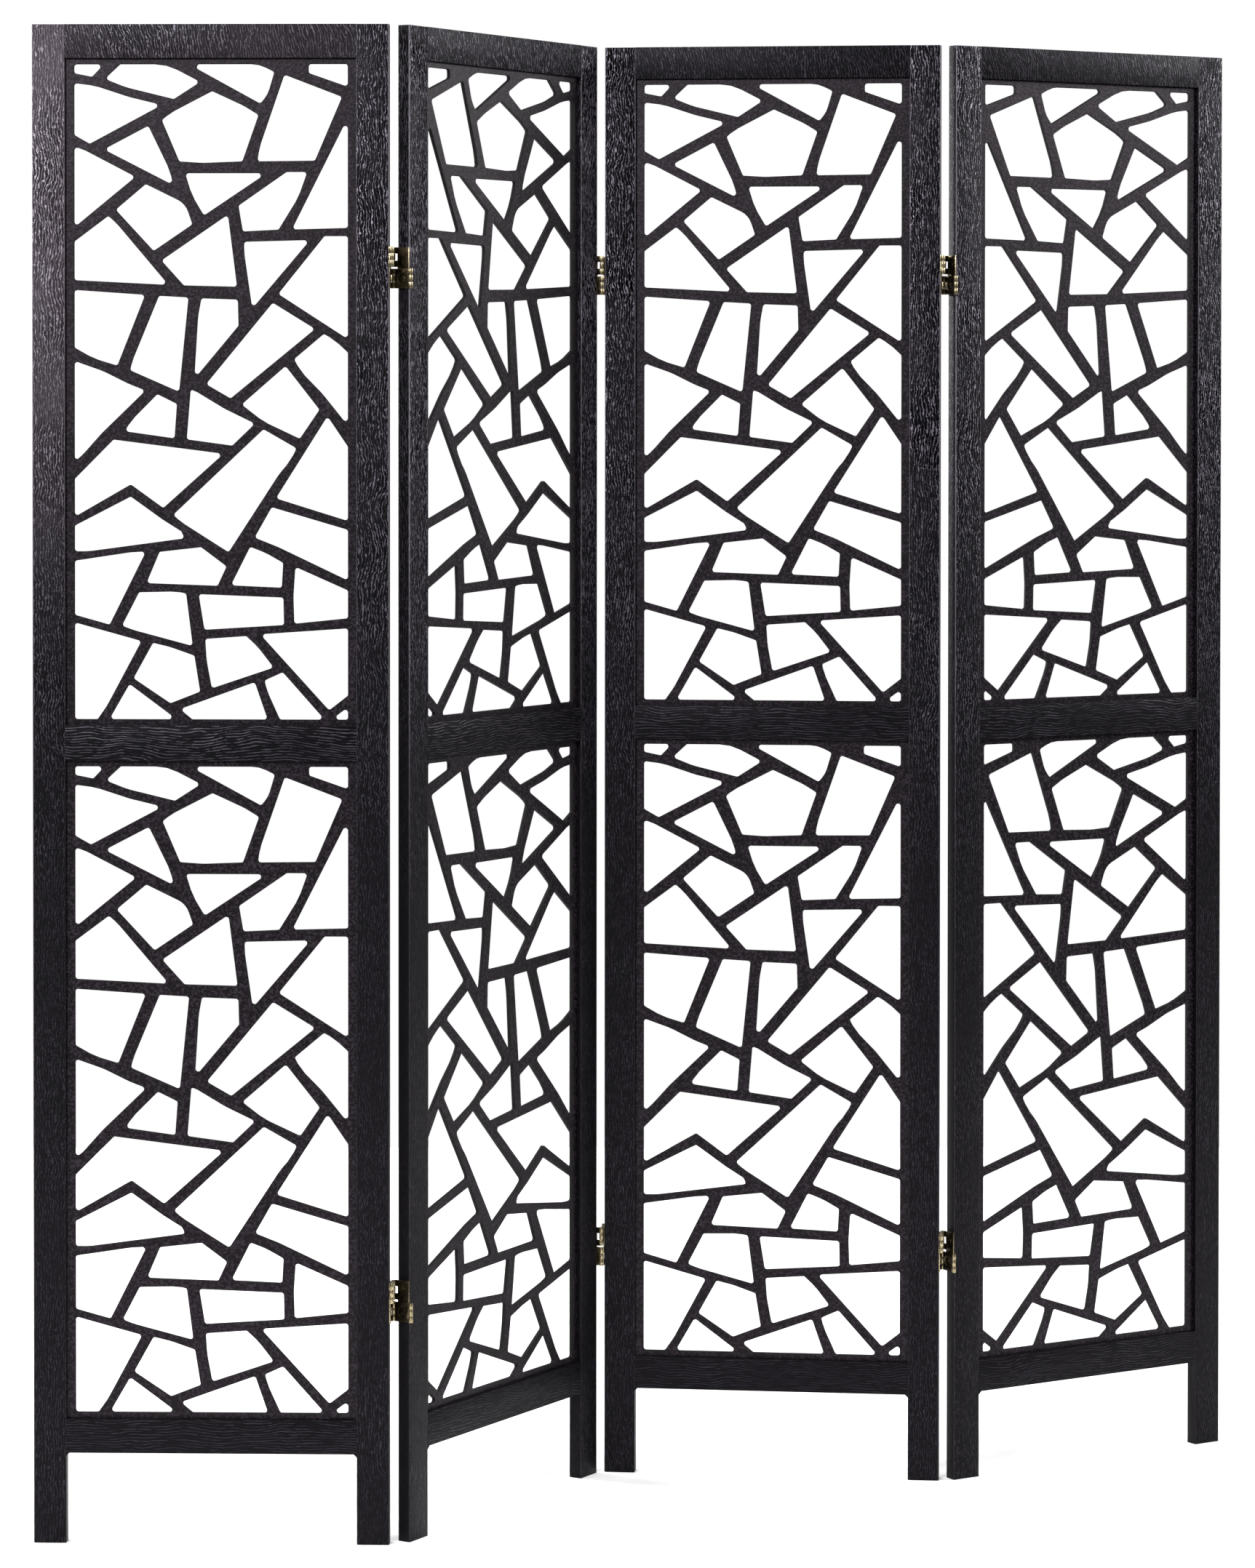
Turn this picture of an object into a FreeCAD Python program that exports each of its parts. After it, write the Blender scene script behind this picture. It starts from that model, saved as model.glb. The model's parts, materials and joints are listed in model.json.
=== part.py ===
"""A folding screen of four pierced panels, joined in a row by double-action hinges.

The frame is +X along the row, +Y away from the front, +Z up, in millimetres.  The origin lies on
the floor, under the middle of the standing screen's overall box.  Each panel is modelled flat in
its own frame, from its left front foot, and is then set at its place in the zig-zag.
"""

import FreeCAD, Part
import math
import os

from FreeCAD import Placement, Rotation, Vector

# Panel sizes
panel_width = 399.0
panel_height = 1700.0
panel_thickness = 16.0
stile_width = 36.5
leg_height = 101.5
bottom_rail_height = 38.0
mid_rail_base = 878.0
mid_rail_height = 39.3
top_rail_height = 37.5
outer_arris = 1.0
leg_corner_size = 3.5

# Joinery between stiles, rails and frets
groove_depth = 7.5
groove_play = 0.5
groove_side_play = 0.05
groove_stop = 8.0
tenon_end_play = 0.3

# Fret boards and the border round their cells
fret_thickness = 4.5
side_border = 10.0
end_border = 6.8

# Hinges
hinge_height = 46.0
hinge_inset = 271.0
hinge_gap = 6.4
axis_reach = 3.8
leaf_thickness = 1.2
leaf_edge_inset = 0.5
knuckle_radius = 2.4
middle_knuckle_height = 7.4
knuckle_end_play = 0.25
halves_gap = 2.0
pin_radius = 1.1
pin_clearance = 0.05
link_thickness = 1.0
link_edge_play = 0.3
link_hole_radius = 5.0

# The hinges' small rounds are drawn with flats, to keep so many of them light
knuckle_sides = 8
link_hole_sides = 12

# The zig-zag that the screen stands in, in degrees
first_heading = -1.9
fold_12_angle = 60.1
fold_23_angle = 65.2
fold_34_angle = 38.0

# Each pair's joint, the side of its axis (1 for the back, -1 for the front) and its fold at rest
fold_list = [
    ("12", 1, fold_12_angle),
    ("23", -1, fold_23_angle),
    ("34", 1, fold_34_angle),
]

# One overrun for every cut
overrun = 1.0

# Sizes that follow
half_thickness = panel_thickness / 2
half_gap = hinge_gap / 2
opening_width = panel_width - 2 * stile_width
groove_width = fret_thickness + 2 * groove_side_play
lower_opening_base = leg_height + bottom_rail_height
mid_rail_top = mid_rail_base + mid_rail_height
top_rail_base = panel_height - top_rail_height
axis_offset = half_thickness + axis_reach
leaf_half_width = half_thickness - leaf_edge_inset
half_height = (hinge_height - halves_gap) / 2

# Outlines of the fret's cells, as shares of the cell field: across from its left side, then down
# from its top.  Each row of this list holds one cell, and the cells run from left to right in
# courses that step down the board.
cell_corner_shares = [
    # Along the top edge
    [(0, 0), (.109, 0), (.066, .019), (0, .0135)],
    [(.168, 0), (.338, 0), (.461, .027), (.365, .053), (.19, .035), (.112, .022)],
    [(.42, 0), (.675, 0), (.732, .012), (.708, .046), (.681, .060)],
    [(.857, 0), (1, 0), (1, .0345), (.857, .0135)],
    # Down to the first tenth
    [(0, .0285), (.075, .0325), (.2, .0497), (.321, .062), (.057, .121), (0, .1075)],
    [(.504, .041), (.62, .0635), (.674, .0775), (.615, .148), (.47, .1503), (.384, .148),
     (.320, .085), (.35, .0745)],
    [(.768, .016), (.979, .050), (.880, .147), (.6695, .148), (.676, .128)],
    [(.271, .0935), (.350, .162), (.362, .184), (.108, .1295)],
    # Down to a quarter
    [(0, .126), (.03, .129), (.224, .1715), (0, .2485)],
    [(.405, .166), (.704, .166), (.474, .2305), (.43, .1995)],
    [(.776, .1642), (.852, .1642), (.819, .203), (.747, .252), (.616, .2548), (.600, .2155)],
    [(1, .081), (1, .2495), (.795, .2518)],
    [(.261, .1825), (.392, .2095), (.412, .2195), (.432, .244), (.290, .2845), (.151, .2215)],
    # Down to two fifths
    [(.562, .229), (.595, .339), (.40, .337), (.318, .299)],
    [(0, .27), (.124, .231), (.155, .2425), (.344, .3362), (0, .329)],
    [(.621, .2705), (.862, .268), (.650, .3725), (.62, .285)],
    [(.914, .262), (1, .262), (1, .419), (.745, .350)],
    [(0, .344), (.259, .3515), (.157, .4595), (.07, .4485), (0, .432)],
    [(.309, .353), (.4175, .3555), (.383, .4995), (.203, .4665), (.2115, .452)],
    [(.464, .3568), (.598, .3588), (.6005, .3985), (.438, .480), (.452, .384)],
    [(.725, .3635), (.880, .4035), (.571, .5095), (.481, .4877)],
    # Across the middle
    [(.912, .411), (.952, .4207), (1, .4395), (1, .551), (.905, .5015), (.826, .4675),
     (.803, .4495)],
    [(0, .4525), (.105, .468), (.2, .4877), (.260, .4975), (.1, .5625), (.032, .5945),
     (0, .6065)],
    [(.303, .503), (.375, .518), (.366, .5705), (.183, .5597), (.206, .544)],
    [(.4245, .4965), (.441, .498), (.55, .5255), (.66, .548), (.577, .5815), (.410, .572)],
    [(.772, .460), (.896, .5265), (.824, .571), (.69, .5445), (.611, .5188)],
    # Down to three quarters
    [(0, .6325), (.142, .5725), (.545, .594), (.324, .677), (.205, .641), (0, .6905)],
    [(.691, .5565), (.812, .5855), (.79, .6045), (.75, .6238), (.563, .7445), (.39, .6985),
     (.360, .6875)],
    [(.925, .5365), (1, .583), (1, .6965), (.736, .662)],
    [(0, .704), (.2055, .6595), (.32, .694), (.39, .7125), (.403, .7232), (.05, .7432), (0, .7432)],
    [(0, .7577), (.2, .745), (.261, .7432), (.1275, .8555), (0, .8405)],
    [(.310, .744), (.463, .7368), (.556, .766), (.523, .7957), (.262, .7918)],
    [(.721, .6755), (1, .710), (1, .7875), (.745, .7365), (.658, .722)],
    [(.642, .736), (.70, .7455), (.763, .7605), (.758, .7985), (.571, .795)],
    # Down to nine tenths
    [(.235, .8058), (.37, .8045), (.408, .8075), (.432, .888), (.215, .8637), (.172, .857)],
    [(.453, .8085), (.764, .8135), (.766, .8555), (.474, .863)],
    [(.807, .7665), (1, .8025), (1, .845), (.803, .8535), (.8, .812)],
    [(0, .852), (.244, .8803), (.118, .979), (.083, 1), (0, 1)],
    [(.286, .883), (.35, .8895), (.438, .9025), (.459, .9575), (.349, .9755), (.214, .9375)],
    [(.477, .877), (.628, .8725), (.67, .889), (.728, .9205), (.501, .9525), (.482, .91)],
    [(.678, .8697), (1, .8605), (1, .963), (.930, .9858)],
    # Along the bottom edge
    [(.2, .946), (.373, 1), (.126, 1)],
    [(.384, .9845), (.659, .943), (.706, 1), (.429, 1)],
    [(.694, .9405), (.7615, .9277), (.9145, 1), (.7505, 1), (.703, .956)],
    [(1, .981), (1, 1), (.939, 1)],
]


def prism(corners, travel):
    """The solid that a flat outline, given by its corners, sweeps along travel."""
    return Part.Face(Part.makePolygon(corners + corners[:1])).extrude(travel)


def box(x_span, y_span, z_span):
    """A block between two values on each axis."""
    low, high = (Vector(*ends) for ends in zip(x_span, y_span, z_span))
    size = high - low
    return Part.makeBox(size.x, size.y, size.z, low)


def flatted_bar(flat_radius, sides, height, foot):
    """An upright bar with flat sides, each flat_radius from its axis, which rises from foot."""
    corner_radius = flat_radius / math.cos(math.pi / sides)
    corners = []
    for index in range(sides):
        angle = (2 * index + 1) * math.pi / sides
        corners.append(foot + Vector(math.cos(angle), math.sin(angle), 0) * corner_radius)
    return prism(corners, Vector(0, 0, height))


def tongue_span(thickness):
    """The two depths that bound a tongue or groove in the middle of the panel's thickness."""
    return half_thickness - thickness / 2, half_thickness + thickness / 2


def left_stile():
    """The left upright, whose lower end is a foot, grooved for the frets and the rails' tenons."""
    section = [
        Vector(outer_arris, 0, 0),
        Vector(stile_width, 0, 0),
        Vector(stile_width, panel_thickness, 0),
        Vector(outer_arris, panel_thickness, 0),
        Vector(0, panel_thickness - outer_arris, 0),
        Vector(0, outer_arris, 0),
    ]
    groove = box(
        (stile_width - groove_depth, stile_width + overrun),
        tongue_span(groove_width),
        (leg_height + groove_stop, panel_height - groove_stop),
    )
    return prism(section, Vector(0, 0, panel_height)).cut(groove)


def right_stile():
    """The left stile turned over to the other side."""
    middle = Vector(panel_width / 2, 0, 0)
    return left_stile().mirror(middle, Vector(1, 0, 0))


def rail(base, height, grooved_below, grooved_above):
    """A rail between the stiles, grooved for the frets, with a tenon in each stile's groove."""
    top = base + height
    body = box((stile_width, panel_width - stile_width), (0, panel_thickness), (base, top))
    tenon_base = base + (groove_depth if grooved_below else groove_stop + tenon_end_play)
    tenon_top = top - (groove_depth if grooved_above else groove_stop + tenon_end_play)
    tenon_length = groove_depth - groove_play
    tenons = box(
        (stile_width - tenon_length, panel_width - stile_width + tenon_length),
        tongue_span(fret_thickness),
        (tenon_base, tenon_top),
    )
    shaped = body.fuse(tenons)
    across = (stile_width - overrun, panel_width - stile_width + overrun)
    if grooved_below:
        below = box(across, tongue_span(groove_width), (base - overrun, base + groove_depth))
        shaped = shaped.cut(below)
    if grooved_above:
        above = box(across, tongue_span(groove_width), (top - groove_depth, top + overrun))
        shaped = shaped.cut(above)
    return shaped


def leg_corner(stile_edge, toward):
    """The small slanted corner between a leg and the bottom rail's underside."""
    outline = [
        Vector(stile_edge, 0, leg_height),
        Vector(stile_edge + toward * leg_corner_size, 0, leg_height),
        Vector(stile_edge, 0, leg_height - leg_corner_size),
    ]
    return prism(outline, Vector(0, panel_thickness, 0))


def bottom_rail():
    """The rail above the legs, with a slanted corner against each leg."""
    shaped = rail(leg_height, bottom_rail_height, False, True)
    corners = [leg_corner(stile_width, 1), leg_corner(panel_width - stile_width, -1)]
    return shaped.fuse(corners).removeSplitter()


def fret(opening_base, opening_top, mirrored):
    """A thin board pierced by the cells, held in the grooves all round one opening."""
    face_depth = tongue_span(fret_thickness)[0]
    tongue = groove_depth - groove_play
    field_left = stile_width + side_border
    field_width = opening_width - 2 * side_border
    field_top = opening_top - end_border
    field_height = opening_top - opening_base - 2 * end_border

    def place(across_share, down_share):
        share = 1 - across_share if mirrored else across_share
        return Vector(field_left + share * field_width, face_depth,
                      field_top - down_share * field_height)

    edge = Part.makePolygon([
        Vector(stile_width - tongue, face_depth, opening_base - groove_depth),
        Vector(panel_width - stile_width + tongue, face_depth, opening_base - groove_depth),
        Vector(panel_width - stile_width + tongue, face_depth, opening_top + tongue),
        Vector(stile_width - tongue, face_depth, opening_top + tongue),
        Vector(stile_width - tongue, face_depth, opening_base - groove_depth),
    ])
    wires = [edge]
    for cell in cell_corner_shares:
        wires.append(Part.makePolygon([place(*corner) for corner in cell + cell[:1]]))
    board = Part.makeFace(wires, "Part::FaceMakerBullseye")
    return board.extrude(Vector(0, fret_thickness, 0))


def panel_pieces(number):
    """The seven wooden pieces of one panel, flat in its own frame.  Even panels are mirrored."""
    mirrored = number % 2 == 0
    name = f"panel_{number}_"
    return {
        name + "stile_left": left_stile(),
        name + "stile_right": right_stile(),
        name + "top_rail": rail(top_rail_base, top_rail_height, True, False),
        name + "mid_rail": rail(mid_rail_base, mid_rail_height, True, True),
        name + "bottom_rail": bottom_rail(),
        name + "fret_upper": fret(mid_rail_top, top_rail_base, mirrored),
        name + "fret_lower": fret(lower_opening_base, mid_rail_base, mirrored),
    }


def knuckle_levels(sign):
    """The heights that bound a half hinge and its middle knuckle, from the hinge's middle."""
    half_middle = sign * (halves_gap + half_height) / 2
    return (
        half_middle - half_height / 2,
        half_middle - middle_knuckle_height / 2,
        half_middle + middle_knuckle_height / 2,
        half_middle + half_height / 2,
    )


def leaf_barrel(side, sign):
    """Two outer knuckles with the pin that is fixed in them, and the webs that carry them.

    The side is -1 at the front and 1 at the back, and the sign is 1 for the upper half.
    """
    low, middle_low, middle_high, high = knuckle_levels(sign)
    lower_end = middle_low - knuckle_end_play
    upper_start = middle_high + knuckle_end_play
    pin_flat_radius = pin_radius * math.cos(math.pi / knuckle_sides)
    pin_foot = Vector(0, side * axis_offset, lower_end)
    pin = flatted_bar(pin_flat_radius, knuckle_sides, upper_start - lower_end, pin_foot)
    pieces = [pin]
    for foot_level, top_level in ((low, lower_end), (upper_start, high)):
        height = top_level - foot_level
        foot = Vector(0, side * axis_offset, foot_level)
        web_corners = [
            Vector(-half_gap, side * (leaf_half_width - leaf_thickness), foot_level),
            Vector(-half_gap, side * (axis_offset - knuckle_radius), foot_level),
            Vector(-knuckle_radius, side * axis_offset, foot_level),
            Vector(0, side * axis_offset, foot_level),
            Vector(leaf_thickness - half_gap, side * (axis_offset - knuckle_radius), foot_level),
            Vector(leaf_thickness - half_gap, side * (leaf_half_width - leaf_thickness), foot_level),
        ]
        pieces.append(flatted_bar(knuckle_radius, knuckle_sides, height, foot))
        pieces.append(prism(web_corners, Vector(0, 0, height)))
    return pieces


def leaf():
    """The left leaf: a plate on the panel's edge, a barrel front above and one back below."""
    plate = box(
        (-half_gap, leaf_thickness - half_gap),
        (-leaf_half_width, leaf_half_width),
        (-hinge_height / 2, hinge_height / 2),
    )
    return plate.fuse(leaf_barrel(-1, 1) + leaf_barrel(1, -1)).removeSplitter()


def link(sign):
    """A plate between the leaves with a knuckle on a front pin and one on a back pin.

    Its hole leaves room for the driver and the head of the leaf's screw behind it.
    """
    low, middle_low, middle_high, high = knuckle_levels(sign)
    inner = axis_offset - knuckle_radius - link_edge_play
    plate = box(
        (-link_thickness / 2, link_thickness / 2),
        (-inner, inner),
        (low, high),
    )
    tongue = box(
        (-link_thickness / 2, link_thickness / 2),
        (-axis_offset, axis_offset),
        (middle_low, middle_high),
    )
    knuckles = []
    bores = []
    for side in (-1, 1):
        foot = Vector(0, side * axis_offset, middle_low)
        bore_foot = foot - Vector(0, 0, overrun)
        bore_height = middle_knuckle_height + 2 * overrun
        bore_radius = pin_radius + pin_clearance
        knuckles.append(flatted_bar(knuckle_radius, knuckle_sides, middle_knuckle_height, foot))
        bores.append(flatted_bar(bore_radius, knuckle_sides, bore_height, bore_foot))
    hole_foot = Vector(0, 0, -link_thickness / 2 - overrun)
    hole = flatted_bar(link_hole_radius, link_hole_sides, link_thickness + 2 * overrun, hole_foot)
    hole = hole.transformed(Rotation(Vector(0, 1, 0), 90).toMatrix())
    hole.translate(Vector(0, 0, (low + high) / 2))
    return plate.fuse([tongue] + knuckles).cut(bores + [hole]).removeSplitter()


def panel_places():
    """Where each panel stands in the row: the placement of its own frame, from left to right."""
    place = Placement(Vector(0, 0, 0), Rotation(Vector(0, 0, 1), first_heading))
    places = [place]
    for _, axis_side, angle in fold_list:
        to_axis = Vector(panel_width + half_gap, half_thickness + axis_side * axis_offset, 0)
        from_axis = Vector(half_gap, -half_thickness - axis_side * axis_offset, 0)
        turn = Placement(Vector(0, 0, 0), Rotation(Vector(0, 0, 1), axis_side * angle))
        place = place * Placement(to_axis, Rotation()) * turn * Placement(from_axis, Rotation())
        places.append(place)
    return places


def hinge_pieces(joint, axis_side, left_place, right_place):
    """The leaves and links of one pair of panels, each carried by the panel it moves with.

    A pair that folds about its back axis keeps the upper link still against the left panel and the
    lower link still against the right one, and a pair that folds about its front axis the reverse.
    """
    on_left = Placement(Vector(panel_width + half_gap, half_thickness, 0), Rotation())
    on_right = Placement(Vector(-half_gap, half_thickness, 0), Rotation())
    half_turn = Placement(Vector(0, 0, 0), Rotation(Vector(0, 0, 1), 180))
    left_frame = left_place * on_left
    right_frame = right_place * on_right
    upper_link_frame = left_frame if axis_side > 0 else right_frame
    lower_link_frame = right_frame if axis_side > 0 else left_frame
    pieces = {}
    for level_name, level in (("high", panel_height - hinge_inset), ("low", hinge_inset)):
        lift = Placement(Vector(0, 0, level), Rotation())
        name = f"hinge_{joint}_{level_name}_"
        pieces[name + "leaf_left"] = leaf().transformed((left_frame * lift).Matrix)
        pieces[name + "leaf_right"] = leaf().transformed((right_frame * lift * half_turn).Matrix)
        pieces[name + "link_upper"] = link(1).transformed((upper_link_frame * lift).Matrix)
        pieces[name + "link_lower"] = link(-1).transformed((lower_link_frame * lift).Matrix)
    return pieces


def all_pieces():
    """Every piece at its place, with the origin under the middle of the standing screen's box."""
    places = panel_places()
    pieces = {}
    for number, place in enumerate(places, start=1):
        for name, shape in panel_pieces(number).items():
            pieces[name] = shape.transformed(place.Matrix)
    for index, (joint, axis_side, _) in enumerate(fold_list):
        pieces.update(hinge_pieces(joint, axis_side, places[index], places[index + 1]))
    whole = Part.makeCompound(list(pieces.values())).BoundBox
    shift = Vector(-whole.Center.x, -whole.Center.y, -whole.ZMin)
    for shape in pieces.values():
        shape.translate(shift)
    for place, (joint, axis_side, _) in zip(places, fold_list):
        to_axis = Vector(panel_width + half_gap, half_thickness + axis_side * axis_offset, 0)
        axis_point = place.multVec(to_axis) + shift
        print(f"fold_{joint} axis at x {axis_point.x:.4f}, y {axis_point.y:.4f}")
    return pieces


os.makedirs("parts", exist_ok=True)
for node_name, node_shape in all_pieces().items():
    node_shape.exportStep(f"parts/{node_name}.step")
    print(f"{node_name}: valid {node_shape.isValid()}, {len(node_shape.Solids)} solid,"
          f" {node_shape.Volume / 1000:.2f} cm3")
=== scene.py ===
"""Dresses a packed folding screen: brushed black wood, lacquered fret boards and aged brass hinges."""

import json
import logging
import math
from dataclasses import dataclass
from enum import Enum
from typing import Any

import bmesh
import bpy
from mathutils import Matrix, Vector

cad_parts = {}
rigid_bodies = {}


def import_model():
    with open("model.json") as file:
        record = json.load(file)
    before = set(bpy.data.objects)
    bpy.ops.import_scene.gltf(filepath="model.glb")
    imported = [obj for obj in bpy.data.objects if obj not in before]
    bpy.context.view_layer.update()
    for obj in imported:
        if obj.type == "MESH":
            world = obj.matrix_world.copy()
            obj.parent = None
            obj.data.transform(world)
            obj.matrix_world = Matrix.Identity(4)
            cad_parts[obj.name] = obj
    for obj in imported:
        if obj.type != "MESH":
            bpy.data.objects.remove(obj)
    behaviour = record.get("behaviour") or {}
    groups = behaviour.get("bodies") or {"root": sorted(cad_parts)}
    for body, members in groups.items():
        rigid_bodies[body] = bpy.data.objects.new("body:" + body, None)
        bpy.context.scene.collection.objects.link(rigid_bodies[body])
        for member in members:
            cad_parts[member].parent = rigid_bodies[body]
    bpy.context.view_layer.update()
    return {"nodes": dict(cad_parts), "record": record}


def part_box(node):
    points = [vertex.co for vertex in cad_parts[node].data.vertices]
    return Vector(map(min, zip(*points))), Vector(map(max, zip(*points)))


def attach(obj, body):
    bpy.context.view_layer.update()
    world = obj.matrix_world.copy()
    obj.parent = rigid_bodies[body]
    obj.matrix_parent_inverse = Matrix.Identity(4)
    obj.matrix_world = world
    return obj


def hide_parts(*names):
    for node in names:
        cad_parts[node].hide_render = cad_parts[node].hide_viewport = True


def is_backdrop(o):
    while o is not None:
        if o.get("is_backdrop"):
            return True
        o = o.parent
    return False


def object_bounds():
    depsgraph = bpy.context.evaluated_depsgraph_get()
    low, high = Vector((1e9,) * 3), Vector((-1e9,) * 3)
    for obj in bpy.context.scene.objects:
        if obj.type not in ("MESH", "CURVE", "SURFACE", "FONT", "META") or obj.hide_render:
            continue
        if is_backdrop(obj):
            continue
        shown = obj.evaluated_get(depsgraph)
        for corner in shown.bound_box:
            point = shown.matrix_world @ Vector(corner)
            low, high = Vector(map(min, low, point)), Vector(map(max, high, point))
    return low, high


LOG = logging.getLogger("screen")
MM = 0.001

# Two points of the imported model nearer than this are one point
MERGE_DISTANCE = 0.001 * MM
# An edge between faces that turn more than this is a real edge of the piece
SHARP_EDGE_ANGLE = math.radians(20)
# Faces that turn less than this belong to one flat face
FLAT_ANGLE = math.radians(1)
# An edge that turns less than this is shaded smooth
SMOOTH_ANGLE = math.radians(35)
# How many sides a round has
ROUND_SIDES = 32
LACQUER_IOR = 1.5

# Node inputs that take a pair: a range's ends, and the two colours of a mix by their numbers
FROM = ("From Min", "From Max")
TO = ("To Min", "To Max")
TONES = (6, 7)

Pair = tuple[float, float]
Triple = tuple[float, float, float]


class Slot(Enum):
    """The record's material slots."""

    FRAME = "stained_frame"
    FRET = "stained_fret"
    BRASS = "antique_brass"


class GrainRun(Enum):
    """Which way a member's brushed grain runs in its panel."""

    UPRIGHT = "upright"
    LEVEL = "level"
    SLANTED = "slanted"


def linear(code: str) -> tuple[float, float, float, float]:
    """Turn an sRGB hex colour into a linear one.

    Args:
        code: The colour as "#rrggbb".

    Returns:
        Linear red, green, blue and an alpha of one.
    """
    channels = [int(code[start:start + 2], 16) / 255 for start in (1, 3, 5)]
    curved = [c / 12.92 if c <= 0.04045 else ((c + 0.055) / 1.055) ** 2.4 for c in channels]
    return (curved[0], curved[1], curved[2], 1.0)


def add_node(tree: bpy.types.NodeTree, kind: str, inputs: dict[Any, Any] | None = None,
             **settings: Any) -> bpy.types.Node:
    """Add one node, set its properties, and fill or link its inputs.

    Args:
        tree: The node tree that gets the node.
        kind: The node's type name.
        inputs: By input name or number, a value, an output socket, or a node that gives the
            first of its outputs in use.  A tuple of names or numbers takes a tuple of those.
        **settings: Properties of the node itself.

    Returns:
        The new node.
    """
    node = tree.nodes.new(kind)
    for name, value in settings.items():
        setattr(node, name, value)
    for keys, values in (inputs or {}).items():
        pairs = zip(keys, values) if isinstance(keys, tuple) else [(keys, values)]
        for key, value in pairs:
            if isinstance(value, bpy.types.Node):
                value = next(socket for socket in value.outputs if socket.enabled)
            if isinstance(value, bpy.types.NodeSocket):
                tree.links.new(value, node.inputs[key])
            else:
                node.inputs[key].default_value = value
    return node


@dataclass(frozen=True)
class Finish:
    """A surface finish, for which each finish below adds its own nodes."""

    name: str

    def shader_inputs(self, tree: bpy.types.NodeTree) -> dict[Any, Any]:
        """Add the finish's nodes.

        Args:
            tree: The material's node tree.

        Returns:
            The shader's inputs.
        """
        raise NotImplementedError

    def material(self) -> bpy.types.Material:
        """Make the finish's node material.

        Returns:
            The material, with one principled shader.
        """
        material = bpy.data.materials.new(self.name)
        material.use_nodes = True
        tree = material.node_tree
        tree.nodes.clear()
        shader = add_node(tree, "ShaderNodeBsdfPrincipled", self.shader_inputs(tree))
        add_node(tree, "ShaderNodeOutputMaterial", {"Surface": shader})
        return material


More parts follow.
